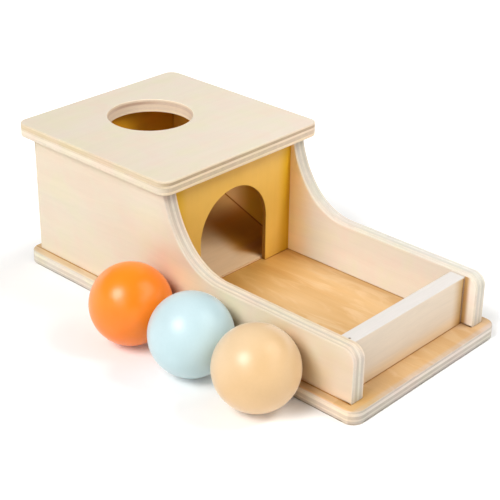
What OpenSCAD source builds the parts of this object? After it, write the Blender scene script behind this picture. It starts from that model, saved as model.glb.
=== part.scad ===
// Object permanence box: a wooden toy. A ball is dropped through the round hole in the lid, rolls down a sloping
// board inside, and comes out of the arched doorway into an open tray.
// Millimetres. Origin at the middle of the base plate's underside, +X towards the tray's end, +Z up.

/* [Base plate] */
// Length of the base plate
base_l = 278; // [270:1:300]
// Width of the base plate
base_w = 136; // [130:1:150]
// Thickness of the base plate
base_t = 9; // [8:0.5:12]
// Radius of the base plate's corners
base_corner_r = 8; // [4:0.5:14]

/* [Side panels] */
// Length of a side panel
side_l = 264.5; // [262:0.5:266]
// Thickness of a side panel
side_t = 10; // [9:0.5:11]
// Width over the outer faces of both side panels
side_over_w = 124; // [120:1:126]
// How far the side panels stand in from the base plate's back edge
side_back_inset = 6; // [2:0.5:8]
// Height of the box walls above the base plate
box_h = 80; // [78:0.5:86]
// Height of the tray walls above the base plate
tray_h = 33; // [28:0.5:36]
// Distance from a side panel's back end to where the sweep runs into the tray wall
sweep_x = 164; // [162:0.5:168]
// Radius of the lower part of the sweep
sweep_low_r = 40; // [38:0.5:42]
// Radius of the upper part of the sweep
sweep_high_r = 67; // [60:0.5:72]
// Slope where the two parts of the sweep meet, in degrees
sweep_join = 38; // [34:1:42]
// Radius of a side panel's front corner
side_corner_r = 8; // [3:0.5:12]

/* [Back panel] */
// Thickness of the back panel
back_t = 9; // [8:0.5:10]

/* [Arch panel] */
// Thickness of the arch panel
arch_t = 3; // [2.5:0.1:3.5]
// Distance from the side panels' back ends to the arch panel's front face
arch_x = 117.3; // [115:0.1:118]
// Width of the doorway
arch_w = 59; // [56:0.5:62]
// Height of the doorway's straight sides above the base plate
arch_spring = 32; // [30:0.5:36]
// Depth of the groove that holds the arch panel in each side panel
arch_groove = 2; // [1.5:0.1:3]

/* [Lid] */
// Length of the lid
lid_l = 136; // [134:0.5:138]
// Width of the lid
lid_w = 136.5; // [130:0.5:150]
// Thickness of the lid
lid_t = 9; // [8.5:0.5:12]
// How far the lid stands out behind the side panels
lid_back = 9.1; // [6:0.1:12]
// Radius of the lid's corners
lid_corner_r = 7; // [4:0.5:12]
// Diameter of the drop hole
hole_d = 55; // [53:0.5:58]
// Distance from the side panels' back ends to the drop hole's centre
hole_x = 42; // [40:0.5:46]

/* [Ramp] */
// Thickness of the ramp board
ramp_t = 3; // [2.5:0.1:3.5]
// Slope of the ramp, in degrees
ramp_slope = 19.7; // [18:0.1:20.5]
// Distance from the side panels' back ends to the ramp's front end
ramp_front = 114.2; // [112:0.1:114.2]
// Height of the ramp's front end above the base plate
ramp_tip = 1.5; // [1:0.1:2]

/* [Tray end] */
// Thickness of the tray's end board
end_t = 10; // [9:0.5:11]
// Distance from the side panels' back ends to the end board's inner face
end_x = 246.2; // [240:0.1:250]
// Height of the end board above the base plate
end_h = 31.9; // [28:0.1:33]

/* [Balls] */
// Diameter of a ball
ball_d = 50; // [46:0.5:50]
// Distance between two balls' centres, as they stand in a row beside the box
ball_pitch = 50.3; // [50.3:0.1:56]
// Distance from the box's middle plane to the row of balls
ball_row = 89; // [89:0.5:96]
// Distance from the base plate's middle to the middle ball, towards the tray's end
ball_mid_x = 35.8; // [30:0.1:44]

/* [Dowels and screws] */
// Diameter of a dowel
dowel_d = 5; // [4:0.5:5]
// Length of a dowel
dowel_l = 16; // [15:0.5:17]
// Depth of a dowel in the thinner board
dowel_in = 6; // [5.5:0.5:6]
// Diameter of a base screw's shank
screw_d = 3.5; // [3:0.1:4]
// Diameter of a base screw's head
screw_head_d = 7; // [6.5:0.1:8]
// Length of a base screw
screw_l = 22; // [20:1:23]

/* [Hidden] */
$fn = 96;

x0 = -base_l / 2 + side_back_inset;       // the side panels' back ends
in_w = side_over_w - 2 * side_t;          // clear width between the side panels
y_side = side_over_w / 2 - side_t / 2;    // middle of a side panel's thickness
z_base = base_t;                          // top of the base plate
z_box = base_t + box_h;                   // underside of the lid
glue = 0.1;                               // glue line between two boards
slip = 0.05;                              // play of a dowel or screw in its hole
end_gap = 0.7;                            // gap at each end of the tray's end board
cleat = 8;                                // side of a ramp cleat's square section
rear_cleat = 12;                          // depth of the rear cleat
dowel_deep = dowel_l - dowel_in;          // depth of a dowel in the edge of the other board
spare = 0.4;                              // room behind a dowel's end
head_sink = 0.3;                          // a screw's head lies this far inside the base plate
head_h = (screw_head_d - screw_d) / 2;    // a 90 degree countersunk head

lid_dowel_x = [20, 96];                   // lid dowels in a side panel's top edge, from its back end
lid_dowel_y = 28;                         // lid dowels in the back panel's top edge, each side of the middle
back_dowel_z = [18, 62];                  // back panel dowels, above the base plate
end_dowel_z = [8, 23];                    // end board dowels, above the base plate
side_screw_x = [24, 132, 234];            // screws into a side panel, from its back end
cross_screw_y = 28;                       // screws into the back panel and the end board

// Points where the screws pass the base plate, from the side panels' back ends
screw_xy = concat(
    [for (x = side_screw_x, s = [-1, 1]) [x, s * y_side]],
    [for (s = [-1, 1]) [back_t / 2, s * cross_screw_y]],
    [for (s = [-1, 1]) [end_x + end_t / 2, s * cross_screw_y]]);

// Height of the ramp's top above the base plate at a distance x from the side panels' back ends, and of its underside
function ramp_top(x) = slip + ramp_tip + (ramp_front - x) * tan(ramp_slope);
function ramp_under(x) = ramp_top(x) - ramp_t / cos(ramp_slope);
// Where the ramp's underside comes down to the base plate; from here to the front end it is bevelled to lie flat
ramp_heel = ramp_front - (ramp_t / cos(ramp_slope) - ramp_tip) / tan(ramp_slope);

// A rectangle with rounded corners, centred
module rounded(l, w, r) {
    square([l - 2 * r, w], center = true);
    square([l, w - 2 * r], center = true);
    for (i = [-1, 1], j = [-1, 1]) translate([i * (l / 2 - r), j * (w / 2 - r)]) circle(r);
}

// A dowel along +Z, with chamfered ends
module dowel() {
    c = 0.5;
    rotate_extrude() polygon([[0, 0], [dowel_d / 2 - c, 0], [dowel_d / 2, c],
        [dowel_d / 2, dowel_l - c], [dowel_d / 2 - c, dowel_l], [0, dowel_l]]);
}

// A dowel's hole along +Z from z = 0, as deep as the dowel goes in and a little more
module dowel_hole(deep) { translate([0, 0, -1]) cylinder(d = dowel_d + 2 * slip, h = deep + spare + 1); }

// A countersunk wood screw along +Z, its head's face at z = 0, with a cross recess
module screw() {
    difference() {
        rotate_extrude() polygon([[0, 0], [screw_head_d / 2, 0], [screw_head_d / 2, 0.3],
            [screw_d / 2, 0.3 + head_h], [screw_d / 2, screw_l - 3], [0.3, screw_l], [0, screw_l]]);
        for (a = [0, 90]) rotate(a) translate([-2.1, -0.45, -1]) cube([4.2, 0.9, 2.6]);
    }
}

// What a screw takes out of the base plate
module screw_way() {
    translate([0, 0, -1]) cylinder(d = screw_d + 0.6, h = base_t + 2);
    rotate_extrude() polygon([[0, -1], [screw_head_d / 2 + 0.2, -1], [screw_head_d / 2 + 0.2, head_sink + 0.4],
        [0, head_sink + 0.4 + screw_head_d / 2 + 0.2]]);
}

// A screw's pilot hole in the lower edge of a board that stands on the base plate
module pilot() { translate([0, 0, -1]) cylinder(d = screw_d + 2 * slip, h = screw_l + head_sink - base_t + 1.6); }

// Outline of a side panel: x from its back end, y up from the base plate
module side_outline() {
    u = [cos(sweep_join), sin(sweep_join)];
    n = [-u[1], u[0]];
    low = [sweep_x, tray_h + sweep_low_r];
    high = low + (sweep_high_r - sweep_low_r) * u;
    a = low - (sweep_low_r + 20) * u;
    b = low + 120 * u;
    difference() {
        square([side_l, box_h]);
        // the lower part of the sweep; the circle lies inside the upper one and touches it where they join
        translate(low) circle(sweep_low_r);
        // the upper part of the sweep
        intersection() {
            translate(high) circle(sweep_high_r);
            polygon([a, b, b + 150 * n, a + 150 * n]);
        }
        // all that lies above the tray wall
        translate([sweep_x, tray_h]) square([side_l, box_h]);
        // the front corner
        translate([side_l - side_corner_r, tray_h - side_corner_r]) difference() {
            square(side_corner_r + 1);
            circle(side_corner_r);
        }
    }
}

// A side panel with its inner face towards +Y or -Y: s is -1 for the right one and 1 for the left one
module side_panel(s) {
    difference() {
        translate([x0, s * y_side + side_t / 2, z_base]) rotate([90, 0, 0]) linear_extrude(side_t) side_outline();
        // groove for the arch panel
        translate([x0 + arch_x - arch_t - glue, s > 0 ? in_w / 2 - 1 : -in_w / 2 - arch_groove, z_base - 1])
            cube([arch_t + 2 * glue, arch_groove + 1, box_h + 2]);
        // lid dowels, from above
        for (x = lid_dowel_x) translate([x0 + x, s * y_side, z_box]) mirror([0, 0, 1]) dowel_hole(dowel_deep);
        // back panel and end board dowels, from the inner face
        for (z = back_dowel_z) translate([x0 + back_t / 2, s * in_w / 2, z_base + z]) rotate([-90 * s, 0, 0]) dowel_hole(dowel_in);
        for (z = end_dowel_z) translate([x0 + end_x + end_t / 2, s * in_w / 2, z_base + z]) rotate([-90 * s, 0, 0]) dowel_hole(dowel_in);
        // screws, from below
        for (x = side_screw_x) translate([x0 + x, s * y_side, z_base]) pilot();
    }
}

module base_plate() {
    color("#dba55c") difference() {
        linear_extrude(base_t) rounded(base_l, base_w, base_corner_r);
        for (p = screw_xy) translate([x0 + p[0], p[1], 0]) screw_way();
    }
}

module left_side_panel() { color("#efdcc0") side_panel(1); }
module right_side_panel() { color("#f1e0c6") side_panel(-1); }

module back_panel() {
    color("#e9d6b8") difference() {
        translate([x0, -in_w / 2 + glue, z_base + glue / 2]) cube([back_t, in_w - 2 * glue, box_h - glue]);
        for (s = [-1, 1]) {
            for (z = back_dowel_z) translate([x0 + back_t / 2, s * (in_w / 2 - glue), z_base + z]) rotate([90 * s, 0, 0]) dowel_hole(dowel_deep);
            translate([x0 + back_t / 2, s * lid_dowel_y, z_box]) mirror([0, 0, 1]) dowel_hole(dowel_deep);
            translate([x0 + back_t / 2, s * cross_screw_y, z_base]) pilot();
        }
    }
}

module arch_panel() {
    w = in_w + 2 * (arch_groove - glue);
    color("#dcaa4c") translate([x0 + arch_x - arch_t, 0, z_base]) rotate([90, 0, 90]) linear_extrude(arch_t) difference() {
        translate([-w / 2, glue / 2]) square([w, box_h - glue]);
        translate([-arch_w / 2, -1]) square([arch_w, arch_spring + 1]);
        translate([0, arch_spring]) circle(arch_w / 2);
    }
}

module lid() {
    color("#eddcc6") difference() {
        translate([x0 - lid_back + lid_l / 2, 0, z_box]) linear_extrude(lid_t) rounded(lid_l, lid_w, lid_corner_r);
        translate([x0 + hole_x, 0, z_box - 1]) cylinder(d = hole_d, h = lid_t + 2);
        for (s = [-1, 1]) {
            for (x = lid_dowel_x) translate([x0 + x, s * y_side, z_box]) dowel_hole(dowel_in);
            translate([x0 + back_t / 2, s * lid_dowel_y, z_box]) dowel_hole(dowel_in);
        }
    }
}

// Places children in the ramp's own axes: x = 0 at the heel and falling to it, z = 0 on the ramp's underside
module on_ramp() { translate([x0 + ramp_heel, 0, z_base + slip]) rotate([0, ramp_slope, 0]) children(); }

// The ramp board: its upper end is cut square, and its lower end lies flat on the base plate
module ramp() {
    b = back_t + 0.3;
    color("#cda77b") translate([x0, in_w / 2 - 0.2, z_base]) rotate([90, 0, 0]) linear_extrude(in_w - 0.4)
        polygon([[b, ramp_under(b)], [ramp_heel, slip], [ramp_front, slip], [ramp_front, slip + ramp_tip],
            [b + ramp_t * sin(ramp_slope), ramp_under(b) + ramp_t * cos(ramp_slope)]]);
}

module ramp_rear_cleat() {
    a = back_t + glue;
    b = back_t + rear_cleat;
    foot = ramp_under(b) - 10;
    color("#dcc39c") translate([x0, in_w / 2 - 1, z_base]) rotate([90, 0, 0]) linear_extrude(in_w - 2)
        polygon([[a, foot], [b, foot], [b, ramp_under(b) - slip], [a, ramp_under(a) - slip]]);
}

// A strip under the ramp's edge, glued to the side panel
module ramp_side_cleat(s) {
    color("#dcc39c") on_ramp() translate([-91, s > 0 ? in_w / 2 - glue - cleat : -in_w / 2 + glue, -slip - cleat]) cube([62, cleat, cleat]);
}
module ramp_left_cleat() { ramp_side_cleat(1); }
module ramp_right_cleat() { ramp_side_cleat(-1); }

module tray_end_board() {
    w = in_w - 2 * end_gap;
    color("#eadbc8") difference() {
        translate([x0 + end_x, -w / 2, z_base + glue / 2]) cube([end_t, w, end_h - glue / 2]);
        for (s = [-1, 1]) {
            for (z = end_dowel_z) translate([x0 + end_x + end_t / 2, s * w / 2, z_base + z]) rotate([90 * s, 0, 0]) dowel_hole(dowel_deep);
            translate([x0 + end_x + end_t / 2, s * cross_screw_y, z_base]) pilot();
        }
    }
}

module lid_dowels() {
    color("#e2c697") for (s = [-1, 1]) {
        for (x = lid_dowel_x) translate([x0 + x, s * y_side, z_box - dowel_deep]) dowel();
        translate([x0 + back_t / 2, s * lid_dowel_y, z_box - dowel_deep]) dowel();
    }
}

module back_panel_dowels() {
    color("#e2c697") for (s = [-1, 1], z = back_dowel_z)
        translate([x0 + back_t / 2, s * (in_w / 2 + dowel_in), z_base + z]) rotate([90 * s, 0, 0]) dowel();
}

module tray_end_dowels() {
    color("#e2c697") for (s = [-1, 1], z = end_dowel_z)
        translate([x0 + end_x + end_t / 2, s * (in_w / 2 + dowel_in), z_base + z]) rotate([90 * s, 0, 0]) dowel();
}

module base_screws() {
    color("#c9c9c9") for (p = screw_xy) translate([x0 + p[0], p[1], head_sink]) screw();
}

// i is -1 for the ball nearest the box's back, 0 for the middle one, 1 for the one nearest the tray's end
module ball(i) { translate([ball_mid_x + i * ball_pitch, -ball_row, ball_d / 2]) sphere(d = ball_d); }
module ball_orange() { color("#f4913a") ball(-1); }
module ball_blue() { color("#cfe6e8") ball(0); }
module ball_cream() { color("#f2cf9b") ball(1); }

base_plate();
left_side_panel();
right_side_panel();
back_panel();
arch_panel();
lid();
ramp();
ramp_rear_cleat();
ramp_left_cleat();
ramp_right_cleat();
tray_end_board();
lid_dowels();
back_panel_dowels();
tray_end_dowels();
base_screws();
ball_orange();
ball_blue();
ball_cream();
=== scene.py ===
"""Looks of the object permanence box: plywood boards with their plies, the painted arch panel, and three painted balls,
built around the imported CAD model. Lengths in the mesh code are in millimetres and go into Blender in metres."""

import math

import bmesh
import bpy
from mathutils import Matrix, Vector, noise
from mathutils.geometry import tessellate_polygon


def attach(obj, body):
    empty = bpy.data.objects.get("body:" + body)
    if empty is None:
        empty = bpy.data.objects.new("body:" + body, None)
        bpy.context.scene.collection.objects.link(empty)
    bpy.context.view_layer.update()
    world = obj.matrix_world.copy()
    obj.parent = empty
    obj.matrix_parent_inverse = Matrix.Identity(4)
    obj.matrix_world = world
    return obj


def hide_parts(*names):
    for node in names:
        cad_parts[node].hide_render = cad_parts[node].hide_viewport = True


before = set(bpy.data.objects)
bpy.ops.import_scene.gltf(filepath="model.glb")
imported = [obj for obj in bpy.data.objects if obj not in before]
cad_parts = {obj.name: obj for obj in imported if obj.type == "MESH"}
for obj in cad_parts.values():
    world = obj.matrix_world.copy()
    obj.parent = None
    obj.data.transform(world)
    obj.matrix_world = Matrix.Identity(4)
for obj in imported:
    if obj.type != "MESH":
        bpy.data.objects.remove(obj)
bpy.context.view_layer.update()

MM = 0.001
X0 = -133.0  # the side panels' back ends

# ---------------------------------------------------------------- camera

F_PX = 1294.247
AZ, EL, ROLL = 0.7453976, 0.4780918, 0.0145663
TARGET = Vector((89.001 + X0, 45.535, 0.0))
DIST = 879.120


def make_camera():
    back = Vector((math.sin(AZ) * math.cos(EL), -math.cos(AZ) * math.cos(EL), math.sin(EL)))
    right = Vector((math.cos(AZ), math.sin(AZ), 0.0))
    up = back.cross(right)
    c, s = math.cos(ROLL), math.sin(ROLL)
    r2, u2 = c * right + s * up, -s * right + c * up
    cam = bpy.data.cameras.new("camera")
    cam.sensor_fit = "HORIZONTAL"
    cam.sensor_width = 36.0
    cam.lens = 36.0 * F_PX / 500.0
    cam.clip_start, cam.clip_end = 0.01, 50.0
    o = bpy.data.objects.new("camera", cam)
    bpy.context.scene.collection.objects.link(o)
    m = Matrix((r2, u2, back)).transposed().to_4x4()
    m.translation = (TARGET + back * DIST) * MM
    o.matrix_world = m
    bpy.context.scene.camera = o


# ---------------------------------------------------------------- meshes


def new_object(name, verts, faces, angle=35.0):
    """A mesh object from millimetre vertices, smooth where its faces meet under the angle."""
    me = bpy.data.meshes.new(name)
    me.from_pydata([Vector(v) * MM for v in verts], [], faces)
    me.validate()
    bm = bmesh.new()
    bm.from_mesh(me)
    bmesh.ops.remove_doubles(bm, verts=bm.verts, dist=1e-7)
    bmesh.ops.recalc_face_normals(bm, faces=bm.faces)
    bm.to_mesh(me)
    bm.free()
    me.polygons.foreach_set("use_smooth", [True] * len(me.polygons))
    me.set_sharp_from_angle(angle=math.radians(angle))
    o = bpy.data.objects.new(name, me)
    bpy.context.scene.collection.objects.link(o)
    return o


def arc(cx, cy, r, a0, a1, step=1.2):
    """Points on an arc from angle a0 to a1 in degrees, both ends included, about step mm apart."""
    n = max(4, int(math.ceil(abs(math.radians(a1 - a0)) * r / step)))
    return [
        (cx + r * math.cos(math.radians(a0 + (a1 - a0) * i / n)), cy + r * math.sin(math.radians(a0 + (a1 - a0) * i / n)))
        for i in range(n + 1)
    ]


def straight(a, b, step=12.0):
    """Points between a and b, without both ends."""
    n = max(1, int(math.dist(a, b) / step))
    return [(a[0] + (b[0] - a[0]) * i / n, a[1] + (b[1] - a[1]) * i / n) for i in range(1, n)]


def path(*parts):
    """Joins parts, each (edge radius, points), into a closed outline: points, and the edge radius after each point."""
    pts, rad = [], []
    for r, ps in parts:
        for q in ps:
            if pts and math.dist(q, pts[-1]) < 1e-4:
                rad[-1] = r
                continue
            pts.append((float(q[0]), float(q[1])))
            rad.append(r)
    if math.dist(pts[0], pts[-1]) < 1e-4:
        pts.pop()
        rad.pop()
    out, orad = [], []
    for i, q in enumerate(pts):
        nxt = pts[(i + 1) % len(pts)]
        out.append(q)
        orad.append(rad[i])
        for m in straight(q, nxt):
            out.append(m)
            orad.append(rad[i])
    return out, orad


def area2(pts):
    return sum(a[0] * b[1] - b[0] * a[1] for a, b in zip(pts, pts[1:] + pts[:1]))


def inset_vectors(pts, rad):
    """For each point of an outline with the board on its left: the move that insets its two edges by their radii, the move that insets both by 1, and the mean radius."""
    n = len(pts)
    normals = []
    for i in range(n):
        a, b = pts[i], pts[(i + 1) % n]
        d = Vector((b[0] - a[0], b[1] - a[1])).normalized()
        normals.append(Vector((-d.y, d.x)))
    vs = []
    for i in range(n):
        n1, n2 = normals[i - 1], normals[i]
        r1, r2 = rad[i - 1], rad[i]
        det = n1.x * n2.y - n1.y * n2.x
        if abs(det) < 0.2:
            v = (n1 + n2) / (1 + n1.dot(n2)) * (r1 + r2) / 2
        else:
            v = Vector(((r1 * n2.y - r2 * n1.y) / det, (n1.x * r2 - n2.x * r1) / det))
        one = (n1 + n2) / (1 + n1.dot(n2)) if abs(det) < 0.2 else Vector(((n2.y - n1.y) / det, (n1.x - n2.x) / det))
        vs.append((v, one, (r1 + r2) / 2))
    return vs


def plate(name, loops, t, place, steps=5, angle=35.0, levels=()):
    """A board of thickness t: loops[0] is its outline and the rest its holes, each (points, edge radii) or (points, edge radii, radii at the far face).
    Every edge is rounded, and place turns (u, v, w) into x, y, z, w being 0 to t across the board. levels are more heights with a ring of points."""
    verts, faces, caps = [], [], ([], [])
    for k, loop in enumerate(loops):
        pts, rad = loop[0], loop[1]
        far = loop[2] if len(loop) > 2 else rad
        if (area2(pts) > 0) != (k == 0):
            pts, rad, far = pts[::-1], rad[::-1][1:] + rad[::-1][:1], far[::-1][1:] + far[::-1][:1]
        low, high = inset_vectors(pts, rad), inset_vectors(pts, far)
        n = len(pts)
        rings = []
        support = 0.35

        def ring(table, inset_of, w_of, extra=0.0):
            base = len(verts)
            for i, (u, v) in enumerate(pts):
                move, one, r = table[i]
                q = move * inset_of + one * extra
                verts.append(place(u + q.x, v + q.y, w_of(r)))
            rings.append(base)

        ring(low, 1.0, lambda r: 0.0, support)
        for s in range(steps + 1):
            a = math.pi / 2 * (1 - s / steps)
            ring(low, 1 - math.cos(a), lambda r, a=a: r * (1 - math.sin(a)))
        ring(low, 0.0, lambda r: r + min(support, (t - 2 * r) / 4))
        for level in levels:
            ring(low, 0.0, lambda r, level=level: level)
        ring(high, 0.0, lambda r: t - r - min(support, (t - 2 * r) / 4))
        for s in range(steps + 1):
            a = math.pi / 2 * s / steps
            ring(high, 1 - math.cos(a), lambda r, a=a: t - r * (1 - math.sin(a)))
        ring(high, 1.0, lambda r: t, support)
        for a, b in zip(rings, rings[1:]):
            for i in range(n):
                j = (i + 1) % n
                faces.append((a + i, a + j, b + j, b + i))
        caps[0].append([rings[0] + i for i in range(n)])
        caps[1].append([rings[-1] + i for i in range(n)])
    for cap in caps:
        ids = [i for c in cap for i in c]
        polys, at = [], 0
        for c in cap:
            polys.append([Vector(verts2d(verts[i], place)).to_3d() for i in c])
        for tri in tessellate_polygon(polys):
            faces.append(tuple(ids[i] for i in tri))
    return new_object(name, verts, faces, angle)


def verts2d(p, place):
    """The board's own two axes of a placed point, found from where place puts three points."""
    o, a, b = Vector(place(0, 0, 0)), Vector(place(1, 0, 0)), Vector(place(0, 1, 0))
    d = Vector(p) - o
    return (d.dot(a - o), d.dot(b - o))


def rounded_rect(l, w, r, edge, cx=0.0, cy=0.0):
    h, k = l / 2 - r, w / 2 - r
    return path(
        (edge, arc(cx + h, cy - k, r, -90, 0, 0.9)),
        (edge, arc(cx + h, cy + k, r, 0, 90, 0.9)),
        (edge, arc(cx - h, cy + k, r, 90, 180, 0.9)),
        (edge, arc(cx - h, cy - k, r, 180, 270, 0.9)),
    )


def circle(cx, cy, r, edge, step=1.2):
    p, e = path((edge, arc(cx, cy, r, 0, 360, step)))
    return p, e


# ---------------------------------------------------------------- materials


class Graph:
    """Small helpers for building a node material."""

    def __init__(self, name):
        self.mat = bpy.data.materials.new(name)
        self.mat.use_nodes = True
        self.nt = self.mat.node_tree
        self.nt.nodes.clear()
        out = self.nt.nodes.new("ShaderNodeOutputMaterial")
        self.bsdf = self.nt.nodes.new("ShaderNodeBsdfPrincipled")
        self.nt.links.new(self.bsdf.outputs[0], out.inputs["Surface"])
        tc = self.nt.nodes.new("ShaderNodeTexCoord")
        self.normal = tc.outputs["Normal"]
        mm = self.nt.nodes.new("ShaderNodeVectorMath")
        mm.operation = "SCALE"
        mm.inputs["Scale"].default_value = 1000.0
        self.nt.links.new(tc.outputs["Object"], mm.inputs[0])
        self.pos = mm.outputs[0]
        sep = self.nt.nodes.new("ShaderNodeSeparateXYZ")
        self.nt.links.new(self.pos, sep.inputs[0])
        self.x, self.y, self.z = sep.outputs[0], sep.outputs[1], sep.outputs[2]
        sn = self.nt.nodes.new("ShaderNodeSeparateXYZ")
        self.nt.links.new(self.normal, sn.inputs[0])
        self.nx, self.ny, self.nz = sn.outputs[0], sn.outputs[1], sn.outputs[2]

    def put(self, socket, value):
        if isinstance(value, bpy.types.NodeSocket):
            self.nt.links.new(value, socket)
        elif isinstance(value, (tuple, list)) and socket.type == "RGBA" and len(value) == 3:
            socket.default_value = (*value, 1.0)
        else:
            socket.default_value = value

    def math(self, op, a, b=0.0, c=0.0, clamp=False):
        n = self.nt.nodes.new("ShaderNodeMath")
        n.operation, n.use_clamp = op, clamp
        for s, v in zip(n.inputs, (a, b, c)):
            self.put(s, v)
        return n.outputs[0]

    def vec(self, x, y, z):
        n = self.nt.nodes.new("ShaderNodeCombineXYZ")
        for s, v in zip(n.inputs, (x, y, z)):
            self.put(s, v)
        return n.outputs[0]

    def vmul(self, v, by):
        n = self.nt.nodes.new("ShaderNodeVectorMath")
        n.operation = "MULTIPLY"
        self.put(n.inputs[0], v)
        self.put(n.inputs[1], by)
        return n.outputs[0]

    def vadd(self, v, w):
        n = self.nt.nodes.new("ShaderNodeVectorMath")
        n.operation = "ADD"
        self.put(n.inputs[0], v)
        self.put(n.inputs[1], w)
        return n.outputs[0]

    def noise(self, vector, scale=1.0, detail=2.0, rough=0.5, distortion=0.0, color=False):
        n = self.nt.nodes.new("ShaderNodeTexNoise")
        self.put(n.inputs["Vector"], vector)
        self.put(n.inputs["Scale"], scale)
        self.put(n.inputs["Detail"], detail)
        self.put(n.inputs["Roughness"], rough)
        self.put(n.inputs["Distortion"], distortion)
        return n.outputs["Color" if color else "Fac"]

    def map(self, v, a0, a1, b0, b1, smooth=False):
        n = self.nt.nodes.new("ShaderNodeMapRange")
        n.interpolation_type = "SMOOTHSTEP" if smooth else "LINEAR"
        for s, q in zip(n.inputs, (v, a0, a1, b0, b1)):
            self.put(s, q)
        return n.outputs[0]

    def near(self, v, at, width):
        """1 where v is at a value, falling to 0 at width away from it."""
        return self.map(self.math("ABSOLUTE", self.math("SUBTRACT", v, at)), 0.0, width, 1.0, 0.0, True)

    def mix(self, fac, a, b, kind="MIX"):
        n = self.nt.nodes.new("ShaderNodeMix")
        n.data_type, n.blend_type = "RGBA", kind
        self.put(n.inputs[0], fac)
        self.put(n.inputs[6], a)
        self.put(n.inputs[7], b)
        return n.outputs[2]

    def ramp(self, fac, stops, interp="LINEAR"):
        n = self.nt.nodes.new("ShaderNodeValToRGB")
        self.put(n.inputs[0], fac)
        r = n.color_ramp
        r.interpolation = interp
        while len(r.elements) < len(stops):
            r.elements.new(0.5)
        for e, (at, col) in zip(r.elements, stops):
            e.position = at
            e.color = (*col, 1.0) if len(col) == 3 else col
        return n.outputs[0]

    def gain(self, color, amount):
        """color times a number that varies over the surface."""
        return self.mix(1.0, color, self.vec(amount, amount, amount), "MULTIPLY")

    def bump(self, height, strength, distance, normal=None):
        n = self.nt.nodes.new("ShaderNodeBump")
        n.inputs["Strength"].default_value = strength
        n.inputs["Distance"].default_value = distance
        self.put(n.inputs["Height"], height)
        if normal is not None:
            self.put(n.inputs["Normal"], normal)
        return n.outputs[0]

    def finish(self, color, rough, normal=None, **fixed):
        self.put(self.bsdf.inputs["Base Color"], color)
        self.put(self.bsdf.inputs["Roughness"], rough)
        if normal is not None:
            self.put(self.bsdf.inputs["Normal"], normal)
        for k, v in fixed.items():
            self.bsdf.inputs[k.replace("_", " ")].default_value = v
        return self.mat


AXES = {"x": 0, "y": 1, "z": 2}


def wood_grain(g, along, seed, fine=1.0, figure=1.0):
    """Grain of a veneer or board whose fibres run along one axis: (tone around 1, height for bump, band, broad).
    Cut across the fibres it shows as specks, as end grain does."""
    a = AXES[along]
    off = g.vec(seed * 37.1, seed * 11.7, seed * 23.3)
    p = g.vadd(g.pos, off)
    # slow sideways wander of the fibres
    slow = [0.012, 0.012, 0.012]
    slow[a] = 0.006
    wander = g.noise(g.vmul(p, tuple(slow)), 1.0, 2.0, 0.5, color=True)
    lean = [26.0, 26.0, 26.0]
    lean[a] = 0.0
    q = g.vadd(p, g.vmul(wander, tuple(lean)))
    s1 = [1.35, 1.35, 1.35]
    s1[a] = 0.022
    fibre = g.noise(g.vmul(q, tuple(s1)), 1.0, 3.0, 0.62)
    s2 = [0.20, 0.20, 0.20]
    s2[a] = 0.0065
    band = g.noise(g.vmul(q, tuple(s2)), 1.0, 3.0, 0.55, 0.6)
    s3 = [0.045, 0.045, 0.045]
    s3[a] = 0.009
    broad = g.noise(g.vmul(q, tuple(s3)), 1.0, 2.0, 0.5)
    # growth figure of rotary-cut veneer: soft contour lines of a slow noise
    s4 = [0.028, 0.028, 0.028]
    s4[a] = 0.0045
    field = g.noise(g.vmul(p, tuple(s4)), 1.0, 1.5, 0.45, 0.8)
    lines = g.math("SINE", g.math("MULTIPLY", field, 95.0))
    # short open pores, a little darker
    s5 = [2.6, 2.6, 2.6]
    s5[a] = 0.20
    pores = g.map(g.noise(g.vmul(q, tuple(s5)), 1.0, 1.0, 0.5), 0.66, 0.78, 0.0, 1.0)
    tone = g.math("MULTIPLY_ADD", g.math("SUBTRACT", fibre, 0.5), 0.16 * fine, 1.0)
    tone = g.math("MULTIPLY_ADD", g.math("SUBTRACT", band, 0.5), 0.20 * figure, tone)
    tone = g.math("MULTIPLY_ADD", g.math("SUBTRACT", broad, 0.5), 0.16 * figure, tone)
    tone = g.math("MULTIPLY_ADD", lines, 0.011 * figure, tone)
    tone = g.math("MULTIPLY_ADD", pores, -0.05 * fine, tone)
    height = g.math("MULTIPLY_ADD", pores, -0.5, fibre)
    return tone, height, band, broad


def stops(plies, t, pick, eps):
    """Colour ramp stops for plies = [(lower end in mm, ...)], stepping within eps of each boundary."""
    out, start = [], 0.0
    for i, ply in enumerate(plies):
        value = pick(ply)
        if i:
            out.append((start / t + eps, value))
        else:
            out.append((0.0, value))
        out.append((ply[0] / t - eps if i < len(plies) - 1 else 1.0, value))
        start = ply[0]
    return out


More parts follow.
